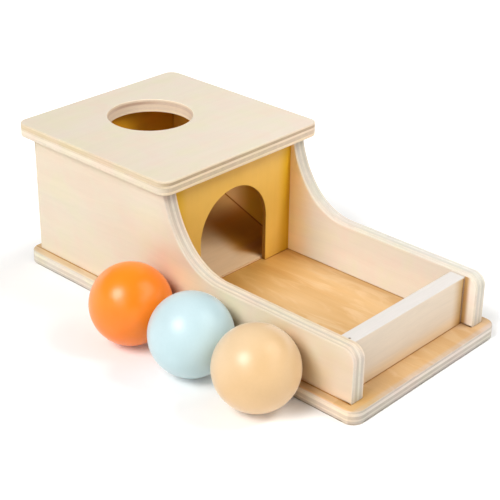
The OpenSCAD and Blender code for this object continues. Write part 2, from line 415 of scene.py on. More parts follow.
def plywood(name, across, hi, lo, stacks, face_along, cross_along, base, seed, rough=0.50, figure=1.0, face_tone=0.6, edge_tone=1.0, warm=(1.015, 0.975, 0.90),
            lines=0.34, skin=None, detail=None):
    """Plywood whose plies lie across one axis, from hi down to lo (mm). stacks maps an edge's axis to its plies, each
    (lower end in mm, kind, tint);
    kind "f" has its fibres along face_along and "c" along cross_along. skin is (depth in mm, colour, deep colour) for a
    stained top veneer.
    detail takes (graph, colour) and returns the colour with what belongs to one place on the board, painted light and
    shade among it."""
    g = Graph(name)
    c = {"x": g.x, "y": g.y, "z": g.z}[across]
    t = abs(hi - lo)
    wob = g.noise(g.vmul(g.pos, (0.03, 0.03, 0.03)), 1.0, 2.0, 0.5)
    wob2 = g.noise(g.vadd(g.vmul(g.pos, (0.35, 0.35, 0.35)), (7.0, 3.0, seed)), 1.0, 2.0, 0.5)
    raw = g.math("SUBTRACT", hi, c) if hi > lo else g.math("SUBTRACT", c, hi)
    depth = g.math("MULTIPLY_ADD", g.math("SUBTRACT", wob, 0.5), 0.34, raw)
    depth = g.math("MULTIPLY_ADD", g.math("SUBTRACT", wob2, 0.5), 0.14, depth)
    share = g.math("DIVIDE", depth, t, clamp=True)
    nrm = {"x": g.nx, "y": g.ny, "z": g.nz}
    first, second = list(stacks)
    n1, n2 = g.math("POWER", nrm[first], 2.0), g.math("POWER", nrm[second], 2.0)
    w = g.math("DIVIDE", n2, g.math("ADD", g.math("ADD", n1, n2), 0.0001))
    ends = g.mix(w, g.ramp(share, stops(stacks[first], t, lambda p: p[2], 0.010)), g.ramp(share, stops(stacks[second], t, lambda p: p[2], 0.010)))
    facing = g.map(g.math("ABSOLUTE", nrm[across]), 0.75, 0.97, 0.0, 1.0, True)
    tint = g.mix(facing, ends, (1.0, 1.0, 1.0))
    plies = stacks[first]
    cross = g.ramp(share, stops(plies, t, lambda p: (1.0, 1.0, 1.0) if p[1] == "c" else (0.0, 0.0, 0.0), 0.010))
    glue = [(0.0, (0, 0, 0))]
    for ply in plies[:-1]:
        glue += [(ply[0] / t - 0.014, (0, 0, 0)), (ply[0] / t, (1, 1, 1)), (ply[0] / t + 0.014, (0, 0, 0))]
    line = g.ramp(share, glue)
    tone_f, h_f, band_f, broad_f = wood_grain(g, face_along, seed, 1.0, figure)
    tone_c, h_c, band_c, broad_c = wood_grain(g, cross_along, seed + 5.0, 1.3, 1.3)
    if skin is not None:
        tone_s, h_s, band_s, broad_s = wood_grain(g, cross_along, seed + 9.0, 1.0, figure)
    ef, ec = g.math("ABSOLUTE", nrm[face_along]), g.math("ABSOLUTE", nrm[cross_along])
    e = g.math("ADD", g.math("MULTIPLY", ec, cross), g.math("MULTIPLY", ef, g.math("SUBTRACT", 1.0, cross)), clamp=True)
    e = g.map(e, 0.25, 0.95, 0.0, 1.0, True)
    tone = g.math("ADD", g.math("MULTIPLY", tone_c, cross), g.math("MULTIPLY", tone_f, g.math("SUBTRACT", 1.0, cross)))
    amount = g.math("MULTIPLY_ADD", facing, face_tone - edge_tone, edge_tone)
    tone = g.math("MULTIPLY_ADD", g.math("SUBTRACT", tone, 1.0), amount, 1.0)
    # pale and warm areas of the same veneer, and pinkish and yellowish blotches
    tan = (base[0] * warm[0], base[1] * warm[1], base[2] * warm[2])
    color = g.mix(g.map(broad_f, 0.35, 0.65, 0.0, 1.0, True), base, tan)
    blotch = g.noise(g.vadd(g.vmul(g.pos, (0.055, 0.055, 0.055)), (3.0, seed * 7.0, 1.0)), 1.0, 3.0, 0.55)
    color = g.mix(1.0, color, g.ramp(blotch, [(0.36, (0.985, 1.012, 0.965)), (0.50, (1.0, 1.0, 1.0)), (0.64, (1.015, 0.972, 0.985))]), "MULTIPLY")
    color = g.gain(g.mix(1.0, color, tint, "MULTIPLY"), tone)
    # end grain is speckled, and saw marks cross the edges
    speck = g.noise(g.vadd(g.vmul(g.pos, (1.9, 1.9, 1.9)), (seed, 0.0, 4.0)), 1.0, 3.0, 0.7)
    color = g.gain(color, g.math("MULTIPLY_ADD", g.math("MULTIPLY", g.math("SUBTRACT", speck, 0.5), e), 0.30, 1.0))
    # glue lines come and go along the edge
    broken = g.map(g.noise(g.vadd(g.vmul(g.pos, (0.11, 0.11, 0.11)), (seed * 5.0, 2.0, 0.0)), 1.0, 2.0, 0.6), 0.35, 0.65, 0.35, 1.0)
    color = g.mix(g.math("MULTIPLY", g.math("MULTIPLY", line, broken), lines), color, (0.30, 0.18, 0.09))
    if skin is not None:
        d, skin_color, deep_color = skin
        ragged = g.math("MULTIPLY_ADD", g.math("SUBTRACT", g.noise(g.vmul(g.pos, (0.5, 0.5, 0.5)), 1.0, 2.0, 0.6), 0.5), 0.10, raw)
        top = g.map(ragged, d - 0.03, d + 0.05, 1.0, 0.0)
        streak = g.math("MULTIPLY_ADD", g.math("SUBTRACT", band_s, 0.5), 1.5, 0.42)
        streak = g.math("MULTIPLY_ADD", g.math("SUBTRACT", broad_s, 0.5), 3.4, streak, clamp=True)
        honey = g.mix(streak, skin_color, deep_color)
        # paler wisps where the stain took less
        drawn = [0.085, 0.085, 0.085]
        drawn[AXES[cross_along]] = 0.020
        wisp = g.noise(g.vadd(g.vmul(g.pos, tuple(drawn)), (5.0, seed, 2.0)), 1.0, 4.0, 0.6, 1.1)
        pale = tuple(0.6 * v + 0.4 * w for v, w in zip(skin_color, (0.80, 0.62, 0.40)))
        honey = g.mix(g.math("MULTIPLY", g.map(wisp, 0.48, 0.66, 0.0, 1.0, True), 0.62), honey, pale)
        honey = g.gain(honey, g.math("MULTIPLY_ADD", g.math("SUBTRACT", tone_s, 1.0), 0.75, 1.0))
        color = g.mix(top, color, honey)
    if detail is not None:
        color = detail(g, color)
    height = g.math("ADD", g.math("MULTIPLY", h_c, cross), g.math("MULTIPLY", h_f, g.math("SUBTRACT", 1.0, cross)))
    height = g.math("MULTIPLY_ADD", line, -0.55, height)
    normal = g.bump(height, 0.20, 0.00020)
    soft = g.noise(g.vmul(g.pos, (0.02, 0.02, 0.02)), 1.0, 2.0, 0.5)
    r = g.math("MULTIPLY_ADD", g.math("SUBTRACT", height, 0.5), 0.14, rough)
    r = g.math("MULTIPLY_ADD", g.math("SUBTRACT", soft, 0.5), 0.10, r)
    r = g.math("MULTIPLY_ADD", e, 0.12, r, clamp=True)
    return g.finish(color, r, normal, IOR=1.46, Specular_IOR_Level=0.36)


def solid_wood(name, along, base, dark, seed, rough=0.5, contrast=1.0, detail=None):
    """Plain board or dowel with straight grain along one axis."""
    g = Graph(name)
    tone, height, band, broad = wood_grain(g, along, seed, 0.8, 0.9)
    end = g.math("ABSOLUTE", {"x": g.nx, "y": g.ny, "z": g.nz}[along])
    end = g.map(end, 0.4, 0.95, 0.0, 1.0, True)
    mixf = g.math("MULTIPLY_ADD", g.math("SUBTRACT", band, 0.5), 2.2, 0.4, clamp=True)
    color = g.mix(g.math("MULTIPLY", mixf, 0.55 * contrast), base, dark)
    color = g.gain(color, tone)
    color = g.mix(g.math("MULTIPLY", end, 0.35), color, dark)
    speck = g.noise(g.vmul(g.pos, (2.2, 2.2, 2.2)), 1.0, 3.0, 0.7)
    color = g.gain(color, g.math("MULTIPLY_ADD", g.math("MULTIPLY", g.math("SUBTRACT", speck, 0.5), end), 0.3, 1.0))
    if detail is not None:
        color = detail(g, color)
    normal = g.bump(height, 0.18, 0.00018)
    r = g.math("MULTIPLY_ADD", g.math("SUBTRACT", height, 0.5), 0.14, rough, clamp=True)
    return g.finish(color, r, normal, IOR=1.46, Specular_IOR_Level=0.36)


def painted_board(name, base, deep, seed, detail=None):
    """Satin paint over thin board: the grain shows faintly through, with roller texture; the detail darkens its edges
    with painted shade.
    """
    g = Graph(name)
    tone, height, band, broad = wood_grain(g, "z", seed, 0.35, 0.45)
    cloud = g.noise(g.vmul(g.pos, (0.03, 0.03, 0.03)), 1.0, 3.0, 0.55)
    color = g.mix(g.map(cloud, 0.3, 0.7, 0.0, 1.0, True), base, deep)
    color = g.gain(color, g.math("MULTIPLY_ADD", g.math("SUBTRACT", tone, 1.0), 0.7, 1.0))
    if detail is not None:
        color = detail(g, color)
    peel = g.noise(g.vmul(g.pos, (1.1, 1.1, 1.1)), 1.0, 2.0, 0.5)
    h = g.math("MULTIPLY_ADD", height, 0.35, peel)
    normal = g.bump(h, 0.12, 0.00016)
    r = g.math("MULTIPLY_ADD", g.math("SUBTRACT", cloud, 0.5), 0.14, 0.46)
    r = g.math("MULTIPLY_ADD", g.math("SUBTRACT", peel, 0.5), 0.08, r, clamp=True)
    return g.finish(color, r, normal, IOR=1.48, Specular_IOR_Level=0.40)


def ball_paint(name, base, deep, seed, rough=0.34, level=0.42, sheen=0.2, pale=(1.0, 1.0, 1.0)):
    """Satin enamel on a turned ball: even colour with a slow drift and fine orange peel, and painted light on its upper
    side.
    """
    g = Graph(name)
    p = g.vadd(g.pos, (seed * 13.0, seed * 7.0, seed * 3.0))
    cloud = g.noise(g.vmul(p, (0.035, 0.035, 0.035)), 1.0, 3.0, 0.5)
    fine = g.noise(g.vmul(p, (0.55, 0.55, 0.55)), 1.0, 3.0, 0.6)
    color = g.mix(g.map(cloud, 0.32, 0.68, 0.0, 1.0, True), base, deep)
    color = g.gain(color, g.math("MULTIPLY_ADD", g.math("SUBTRACT", fine, 0.5), 0.05, 1.0))
    # a paler upper side, towards the back and the near side: painted light
    side = g.math("MULTIPLY_ADD", g.nx, -0.50, g.math("MULTIPLY_ADD", g.ny, -0.40, g.math("MULTIPLY", g.nz, 0.77)))
    color = tinted(g, color, g.map(side, 0.25, 0.95, 0.0, 1.0, True), pale)
    peel = g.noise(g.vmul(p, (0.42, 0.42, 0.42)), 1.0, 1.0, 0.45)
    normal = g.bump(peel, 0.06, 0.0002)
    r = g.math("MULTIPLY_ADD", g.math("SUBTRACT", cloud, 0.5), 0.08, rough)
    r = g.math("MULTIPLY_ADD", g.math("SUBTRACT", fine, 0.5), 0.06, r, clamp=True)
    return g.finish(color, r, normal, IOR=1.5, Specular_IOR_Level=level, Sheen_Weight=sheen, Sheen_Roughness=0.35)


def screw_metal(name):
    """Zinc-plated steel with fine turning marks and a little dulling."""
    g = Graph(name)
    cloud = g.noise(g.vmul(g.pos, (0.4, 0.4, 0.4)), 1.0, 3.0, 0.6)
    scratch = g.noise(g.vmul(g.pos, (6.0, 0.6, 2.0)), 1.0, 3.0, 0.6)
    color = g.mix(cloud, (0.62, 0.62, 0.63), (0.44, 0.44, 0.46))
    r = g.math("MULTIPLY_ADD", scratch, 0.25, 0.24, clamp=True)
    return g.finish(color, r, g.bump(scratch, 0.15, 0.00008), Metallic=1.0)


def floor_paper(name):
    """Pale seamless paper with the faintest tooth; it glows faintly, more behind the box and beyond its far side:
    painted light that lifts the shadows there.
    """
    g = Graph(name)
    tooth = g.noise(g.vmul(g.pos, (0.6, 0.6, 0.6)), 1.0, 3.0, 0.6)
    color = g.mix(tooth, (0.95, 0.95, 0.95), (0.97, 0.97, 0.97))
    # painted light: the paper glows where the box's shadows fall behind it and beyond its far side
    lit = g.math("MAXIMUM", g.map(g.x, X0 - 45.0, X0 - 8.0, 0.30, 0.05, True), g.map(g.y, 75.0, 150.0, 0.05, 0.20, True))
    g.put(g.bsdf.inputs["Emission Strength"], lit)
    return g.finish(color, 0.8, g.bump(tooth, 0.03, 0.0001), Specular_IOR_Level=0.2, Emission_Color=(1.0, 1.0, 1.0, 1.0))


# ---------------------------------------------------------------- what belongs to one place on a board, painted light and shade among it

# colour of glue, dust and painted shade in the joints between parts
JOINT = (0.56, 0.32, 0.07)
RAMP_TAN = math.tan(math.radians(19.7))
RAMP_FRONT, RAMP_TIP, RAMP_T = 114.2, 1.5, 3.0


def joint(g, color, mask, strength=0.75):
    """Glue and dust in a joint, with painted shade where the parts meet."""
    return g.mix(g.math("MULTIPLY", mask, 1.5 * strength, clamp=True), color, g.mix(1.0, color, JOINT, "MULTIPLY"))


def tinted(g, color, mask, tint):
    """The colour times a tint where the mask is 1."""
    return g.mix(mask, color, g.mix(1.0, color, tint, "MULTIPLY"))


def chamber_shade(g):
    """The painted shade of the walls inside the box: deepest by the doorway."""
    front = g.mix(g.map(g.x, X0 + 66.0, X0 + 84.0, 0.0, 1.0, True), CHAMBER_MIDDLE_SHADE, CHAMBER_FRONT_SHADE)
    return g.mix(g.map(g.x, X0 + 24.0, X0 + 46.0, 0.0, 1.0, True), CHAMBER_SHADE, front)


def side_detail(s):
    """A side panel: glue and painted shade in the joints at its foot and on its inner face, painted shade inside the
    box, painted bounce light beside the arch panel, and on the near panel's outer face painted light and shade about
    the balls and under the lid.
    """

    def detail(g, color):
        y = g.math("MULTIPLY", g.y, float(s))
        inner = g.map(y, 52.2, 52.5, 1.0, 0.0)
        box = g.math("MULTIPLY", inner, g.map(g.x, X0 + 114.1, X0 + 114.4, 1.0, 0.0))
        # painted shade on the inner face inside the box
        color = tinted(g, color, box, chamber_shade(g))
        # painted yellow light bounced from the painted arch panel onto the wood beside it
        arch_bounce = g.math("MULTIPLY", g.math("MULTIPLY", inner, g.map(g.x, X0 + 117.0, X0 + 143.0, 1.0, 0.0, True)), g.math("SUBTRACT", 1.0, box))
        color = tinted(g, color, arch_bounce, (1.20, 1.02, 0.64))
        if s > 0:
            color = tinted(g, color, g.map(y, 61.8, 61.95, 0.0, 1.0), (0.97, 0.94, 0.84))
        if s < 0:
            # the outer face a little lighter; painted light above the orange ball, and a painted peach glow of light
            # bounced from it
            outer = g.map(y, 61.8, 61.95, 0.0, 1.0)
            color = g.gain(color, g.math("MULTIPLY_ADD", outer, 0.04, 1.0))
            color = tinted(g, color, g.math("MULTIPLY", g.math("MULTIPLY", g.near(g.x, X0 + 104.0, 26.0), g.map(g.z, 26.0, 40.0, 0.0, 1.0, True)), outer), (1.04, 1.045, 1.055))
            dx = g.math("DIVIDE", g.math("SUBTRACT", g.x, X0 + 126.0), 34.0)
            dz = g.math("DIVIDE", g.math("SUBTRACT", g.z, 40.0), 22.0)
            d = g.math("SQRT", g.math("ADD", g.math("POWER", dx, 2.0), g.math("POWER", dz, 2.0)))
            color = tinted(g, color, g.math("MULTIPLY", g.map(d, 0.2, 1.0, 1.0, 0.0, True), outer), (1.06, 0.965, 0.905))
            # painted warm shade where the balls shade the panel low down, and a painted shadow beside the cream ball
            low = g.math("MULTIPLY", g.math("MULTIPLY", g.map(g.x, X0 + 92.0, X0 + 112.0, 0.0, 1.0, True), g.map(g.x, X0 + 238.0, X0 + 256.0, 1.0, 0.0, True)), g.map(g.z, 17.0, 33.0, 1.0, 0.0, True))
            color = tinted(g, color, g.math("MULTIPLY", low, outer), (1.0, 0.90, 0.76))
            dx = g.math("DIVIDE", g.math("SUBTRACT", g.x, X0 + 216.0), 28.0)
            dz = g.math("DIVIDE", g.math("SUBTRACT", g.z, 20.0), 23.0)
            d = g.math("SQRT", g.math("ADD", g.math("POWER", dx, 2.0), g.math("POWER", dz, 2.0)))
            color = tinted(g, color, g.math("MULTIPLY", g.map(d, 0.55, 1.0, 1.0, 0.0, True), outer), (0.93, 0.82, 0.68))
            # painted light on the panel behind the balls, where their shadows fall, and along the foot
            high = g.math("MULTIPLY", g.math("MULTIPLY", g.map(g.x, X0 + 114.0, X0 + 136.0, 0.0, 1.0, True), g.map(g.x, X0 + 205.0, X0 + 250.0, 1.0, 0.0, True)), g.near(g.z, 36.0, 15.0))
            color = tinted(g, color, g.math("MULTIPLY", high, outer), (1.19, 1.17, 1.14))
            color = tinted(g, color, g.math("MULTIPLY", g.map(g.z, 9.8, 18.0, 1.0, 0.0, True), outer), (1.12, 1.13, 1.13))
            # painted warm shade to the right of the cream ball, by the front end
            tip = g.math("MULTIPLY", g.map(g.x, X0 + 234.0, X0 + 248.0, 0.0, 1.0, True), g.map(g.z, 30.0, 42.0, 1.0, 0.0, True))
            color = tinted(g, color, g.math("MULTIPLY", tip, outer), (0.99, 0.90, 0.86))
            # painted light just under the lid, where its shadow falls
            color = tinted(g, color, g.math("MULTIPLY", g.near(g.z, 84.0, 4.0), outer), (1.13, 1.15, 1.15))
        foot = g.near(g.z, 9.0, 0.8)
        color = joint(g, color, g.math("MULTIPLY", foot, g.math("MULTIPLY_ADD", inner, 0.35, 0.20)))
        if s < 0:
            # painted brown shade along the outer face's foot
            color = tinted(g, color, g.math("MULTIPLY", foot, outer), (0.90, 0.72, 0.42))
        post = g.math("MULTIPLY", inner, g.near(g.x, X0 + 117.3, 0.5))
        color = joint(g, color, post, 0.35)
        top = g.math("SUBTRACT", g.z, g.math("MULTIPLY_ADD", g.x, -RAMP_TAN, 9.05 + RAMP_TIP + (RAMP_FRONT + X0) * RAMP_TAN))
        color = joint(g, color, g.math("MULTIPLY", box, g.near(top, 0.1, 1.0)), 0.85)
        # the end board's ends
        end = g.math("MULTIPLY", inner, g.math("MULTIPLY", g.math("MULTIPLY", g.map(g.x, X0 + 255.8, X0 + 256.2, 0.0, 1.0), g.map(g.x, X0 + 257.5, X0 + 261.0, 1.0, 0.0, True)), g.map(g.z, 40.6, 41.2, 1.0, 0.0)))
        color = joint(g, color, end, 0.6)
        end = g.math("MULTIPLY", inner, g.math("MULTIPLY", g.near(g.x, X0 + 246.0, 0.5), g.map(g.z, 40.6, 41.2, 1.0, 0.0)))
        return joint(g, color, end, 0.25)

    return detail


def base_detail(g, color):
    """The base plate: glue and painted shade in the joint lines of all that stands on it, painted shade and yellow
    bounce light on its top by the arch panel, the near panel and the cream ball, and the parts that stand out of the
    box stained deeper.
    """
    ay = g.math("ABSOLUTE", g.y)
    top = g.map(g.z, 8.7, 8.9, 0.0, 1.0)
    outside = g.math("MULTIPLY", g.math("MAXIMUM", g.map(ay, 61.9, 62.1, 0.0, 1.0), g.map(g.x, X0 + 256.0, X0 + 256.4, 0.0, 1.0)), top)
    color = tinted(g, color, outside, OUTSIDE)
    front = g.math("MULTIPLY", g.map(g.x, X0 + 255.6, X0 + 256.4, 0.0, 1.0), top)
    color = tinted(g, color, front, (0.92, 0.88, 0.80))
    color = tinted(g, color, g.math("MULTIPLY", g.map(g.x, X0 + 267.3, X0 + 270.3, 0.0, 1.0, True), front), (0.93, 1.10, 1.65))
    side = g.math("MULTIPLY", g.math("MULTIPLY", g.map(g.y, -62.1, -61.9, 1.0, 0.0), g.map(g.x, X0 + 30.0, X0 + 90.0, 1.0, 0.0, True)), top)
    color = tinted(g, color, side, (1.12, 1.30, 1.62))
    # painted yellow light bounced from the arch panel, with painted shade, on the tray floor beside it
    arch_bounce = g.math("MULTIPLY", g.math("MULTIPLY", g.map(ay, 51.9, 52.1, 1.0, 0.0), g.map(g.x, X0 + 114.0, X0 + 168.0, 1.0, 0.0, True)), top)
    color = tinted(g, color, arch_bounce, (0.965, 0.80, 0.43))
    at_end = g.math("MULTIPLY", g.math("MULTIPLY", g.map(ay, 51.9, 52.1, 1.0, 0.0), g.map(g.x, X0 + 195.0, X0 + 240.0, 0.0, 1.0, True)), top)
    color = tinted(g, color, g.math("MULTIPLY", at_end, g.map(g.y, -10.0, 30.0, 0.0, 1.0, True)), (0.93, 0.93, 0.94))
    # painted shade on the front strip around the near panel's front end
    color = tinted(g, color, g.math("MULTIPLY", g.near(g.y, -54.0, 16.0), front), (0.98, 0.94, 0.76))
    far_corner = g.math("MULTIPLY", g.map(g.y, 30.0, 62.0, 0.0, 1.0, True), front)
    color = tinted(g, color, far_corner, (1.03, 1.08, 1.26))
    color = tinted(g, color, g.math("MULTIPLY", g.near(g.y, -18.0, 26.0), front), (1.05, 1.08, 1.16))
    # painted shadow of the cream ball on the base beside the near panel
    shade = g.math("MULTIPLY", g.near(g.x, X0 + 225.0, 19.0), g.map(g.y, -62.4, -61.8, 1.0, 0.0))
    color = tinted(g, color, shade, (0.88, 0.80, 0.70))
    # paler plies in the near edge, and a pale rim above them
    near_edge = g.math("MULTIPLY", g.map(g.y, -67.7, -67.3, 1.0, 0.0), g.map(g.z, 7.6, 8.6, 1.0, 0.0))
    color = tinted(g, color, near_edge, g.mix(g.map(g.x, X0 + 100.0, X0 + 220.0, 0.0, 1.0, True), (1.10, 1.22, 1.31), (1.12, 1.17, 1.20)))
    color = tinted(g, color, g.math("MULTIPLY", near_edge, g.map(g.z, 0.8, 2.4, 1.0, 0.0, True)), (1.22, 1.28, 1.30))
    near_rim = g.math("MULTIPLY", g.map(g.y, -67.3, -66.2, 1.0, 0.0, True), g.map(g.z, 7.6, 8.6, 0.0, 1.0))
    color = tinted(g, color, near_rim, g.mix(g.map(g.x, X0 + 100.0, X0 + 220.0, 0.0, 1.0, True), (1.05, 1.17, 1.36), (1.16, 1.16, 1.24)))
    length = g.math("MULTIPLY", g.map(g.x, X0 + 264.3, X0 + 264.6, 1.0, 0.0), top)
    color = joint(g, color, g.math("MULTIPLY", g.math("MAXIMUM", g.near(ay, 51.9, 0.7), g.near(ay, 62.1, 0.7)), length), 0.35)
    # painted brown shade along the near panel's foot
    color = tinted(g, color, g.math("MULTIPLY", g.near(g.y, -62.2, 0.8), length), (0.93, 0.78, 0.50))
    between = g.math("MULTIPLY", g.map(ay, 51.9, 52.1, 1.0, 0.0), top)
    color = joint(g, color, g.math("MULTIPLY", g.near(g.x, X0 + 256.3, 0.7), between), 0.5)
    color = joint(g, color, g.math("MULTIPLY", g.near(g.x, X0 + 246.1, 0.6), between), 0.4)
    color = joint(g, color, g.math("MULTIPLY", g.near(g.x, X0 + RAMP_FRONT + 0.15, 0.6), g.math("MULTIPLY", between, g.map(ay, 29.4, 29.6, 1.0, 0.0))), 0.6)
    post = g.math("MULTIPLY", g.near(g.x, X0 + 117.4, 0.7), g.math("MULTIPLY", between, g.map(ay, 29.4, 29.6, 0.0, 1.0)))
    return joint(g, color, post, 0.45)


def arch_detail(g, color):
    """The arch panel: painted shade on its doorway edge and back face, a little painted shade under the lid, painted
    olive shade where it meets the side panels, and glue and painted shade in the joint lines there and at its foot.
    """
    ay = g.math("ABSOLUTE", g.y)
    front = g.map(g.x, X0 + 117.0, X0 + 117.25, 0.0, 1.0)
    # painted shade on the doorway's edge and on the back face
    color = tinted(g, color, g.math("SUBTRACT", 1.0, front), (0.46, 0.34, 0.13))
    color = g.gain(color, g.map(g.z, 60.0, 36.0, 1.0, 0.955, True))
    color = tinted(g, color, g.map(g.y, -30.0, 10.0, 1.0, 0.0, True), (0.95, 0.965, 1.03))
    # a little painted shade under the lid
    color = tinted(g, color, g.map(g.z, 70.0, 84.0, 0.0, 1.0, True), (0.97, 0.97, 0.96))
    # painted olive shade towards the side panels
    color = tinted(g, color, g.map(ay, 39.0, 50.0, 0.0, 1.0, True), (0.90, 0.86, 0.10))
    color = tinted(g, color, g.near(ay, 52.4, 1.6), (1.18, 1.22, 3.0))
    color = joint(g, color, g.near(ay, 51.0, 1.6), 0.18)
    return joint(g, color, g.near(g.z, 9.0, 0.8), 0.45)


def back_detail(g, color):
    inner = g.map(g.x, X0 + 8.7, X0 + 8.95, 0.0, 1.0)
    # painted shade on the inner face, inside the box
    color = tinted(g, color, inner, (1.02, 0.58, 0.03))
    return joint(g, color, g.math("MULTIPLY", g.near(g.math("ABSOLUTE", g.y), 52.0, 0.9), inner), 0.8)


def ramp_detail(g, color):
    """The ramp: painted shade, deeper and browner up inside the box, a painted shadow of the arch panel across it, and
    glue and painted shade along its edges.
    """
    # painted shade up inside the box
    up = g.map(g.x, X0 + 66.0, X0 + 100.0, 1.0, 0.0, True)
    color = tinted(g, color, up, (0.88, 0.72, 0.42))
    # painted shadow of the arch panel across the ramp's middle
    doorway_shadow = g.math("MULTIPLY", g.map(g.x, X0 + 64.0, X0 + 80.0, 0.0, 1.0, True), g.map(g.x, X0 + 100.0, X0 + 112.0, 1.0, 0.0, True))
    color = tinted(g, color, g.math("MULTIPLY", doorway_shadow, g.map(g.y, 11.0, 25.0, 0.0, 1.0, True)), (0.74, 0.46, 0.08))
    # the same painted shadow, along the shadow edge of the doorway's side, in the foot's corner
    corner = g.math("MULTIPLY", g.map(g.x, X0 + 98.0, X0 + 107.0, 0.0, 1.0, True), g.map(g.math("SUBTRACT", g.y, g.math("SUBTRACT", g.x, X0 + 98.0)), 11.0, 18.0, 0.0, 1.0, True))
    color = tinted(g, color, corner, (0.66, 0.42, 0.14))
    return joint(g, color, g.near(g.math("ABSOLUTE", g.y), 51.9, 0.9), 0.8)


def end_detail(g, color):
    """The tray's end board: planed top, foot joint, open joints at its ends with painted shade beside the far one, and
    one small knot by its near end.
    """
    color = g.mix(g.map(g.z, 40.3, 40.7, 0.0, 1.0), color, g.gain(END_TOP, g.math("MULTIPLY_ADD", g.math("SUBTRACT", g.noise(g.vmul(g.pos, (0.9, 0.06, 0.9)), 1.0, 2.0, 0.6), 0.5), 0.10, 1.0)))
    below = g.map(g.z, 39.6, 40.3, 1.0, 0.0)
    color = tinted(g, color, g.map(g.z, 9.0, 20.0, 1.0, 0.0, True), (1.12, 1.01, 0.82))
    color = g.gain(color, g.map(g.z, 18.0, 36.0, 1.0, 0.955, True))
    color = joint(g, color, g.near(g.z, 9.0, 0.8), 0.4)
    # painted shade towards the far end, beside its open joint
    color = tinted(g, color, g.math("MULTIPLY", g.map(g.y, 40.0, 50.5, 0.0, 1.0, True), below), (0.78, 0.62, 0.36))
    color = joint(g, color, g.math("MULTIPLY", g.near(g.y, 51.4, 1.6), below), 0.8)
    color = joint(g, color, g.near(g.y, -51.5, 0.5), 0.3)
    knot = g.nt.nodes.new("ShaderNodeVectorMath")
    knot.operation = "DISTANCE"
    g.put(knot.inputs[0], g.pos)
    g.put(knot.inputs[1], (X0 + 251.8, -50.4, 40.9))
    return g.mix(g.map(knot.outputs["Value"], 0.4, 1.1, 0.85, 0.0, True), color, (0.16, 0.09, 0.06))


def lid_detail(g, color):
    """The lid: paler wood in the drop hole's wall with a red-brown streak, a golden second ply on half of one edge, and a warmer front part."""
    d = g.math("SQRT", g.math("ADD", g.math("POWER", g.math("SUBTRACT", g.x, X0 + 42.0), 2.0), g.math("POWER", g.y, 2.0)))
    edge = g.map(g.math("ABSOLUTE", g.nz), 0.75, 0.97, 1.0, 0.0, True)
    wall = g.math("MULTIPLY", g.map(d, 28.5, 29.0, 1.0, 0.0), edge)
    depth = g.math("DIVIDE", g.math("SUBTRACT", 98.0, g.z), 9.0)
    tone = g.noise(g.vmul(g.pos, (0.5, 0.5, 1.2)), 1.0, 3.0, 0.6)
    rings = g.ramp(depth, [(0.0, (1, 1, 1)), (0.12, (1, 1, 1)), (0.19, (0.88, 0.84, 0.83)), (0.38, (0.86, 0.82, 0.81)), (0.43, (0.97, 0.95, 0.94)), (0.62, (0.98, 0.97, 0.96)), (0.66, (0.93, 0.92, 0.91)), (0.80, (0.99, 0.98, 0.96)), (0.90, (1.12, 1.12, 1.05)), (1.0, (1.12, 1.12, 1.05))])
    inside = g.gain(g.mix(1.0, HOLE_WALL, rings, "MULTIPLY"), g.math("MULTIPLY_ADD", g.math("SUBTRACT", tone, 0.5), 0.16, 1.0))
    color = g.mix(wall, color, inside)
    spot = g.math("MULTIPLY", g.near(g.z, 95.4, 1.6), g.near(g.math("ADD", g.x, g.math("MULTIPLY", g.y, -0.35)), X0 + 42.0 - 31.0, 10.0))
    color = g.mix(g.math("MULTIPLY", g.math("MULTIPLY", wall, spot), 0.55), color, (0.45, 0.22, 0.13))
    second = g.math("MULTIPLY", g.near(g.z, 95.6, 1.3), g.map(g.ny, -0.9, -0.7, 1.0, 0.0))
    color = tinted(g, color, g.math("MULTIPLY", second, g.map(g.x, X0 + 45.0, X0 + 72.0, 0.0, 1.0, True)), (1.09, 1.11, 1.22))
    front = g.math("MULTIPLY", g.map(g.math("SUBTRACT", g.x, g.math("MULTIPLY", g.y, 0.6)), X0 + 60.0, X0 + 150.0, 0.0, 1.0, True), g.math("SUBTRACT", 1.0, edge))
    return tinted(g, color, front, (1.0, 0.992, 1.0))


# ---------------------------------------------------------------- colours (linear light)

LID = (0.724, 0.634, 0.517)
HOLE_WALL = (0.960, 0.800, 0.615)
SIDE = (0.670, 0.586, 0.458)
# the far side panel is lighter than the near one: painted light for the tray's far wall, its inner face
FAR = (0.822, 0.755, 0.660)
BACK = (0.700, 0.600, 0.460)
BASE = (0.700, 0.640, 0.560)
HONEY = (0.695, 0.460, 0.224)
HONEY_DEEP = (0.603, 0.364, 0.150)
OUTSIDE = (0.95, 0.95, 1.00)
# painted shade on the side panels' inner faces inside the box
CHAMBER_SHADE = (1.14, 0.76, 0.12)
CHAMBER_MIDDLE_SHADE = (0.89, 0.60, 0.28)
CHAMBER_FRONT_SHADE = (0.82, 0.47, 0.04)
END_TOP = (0.705, 0.664, 0.624)

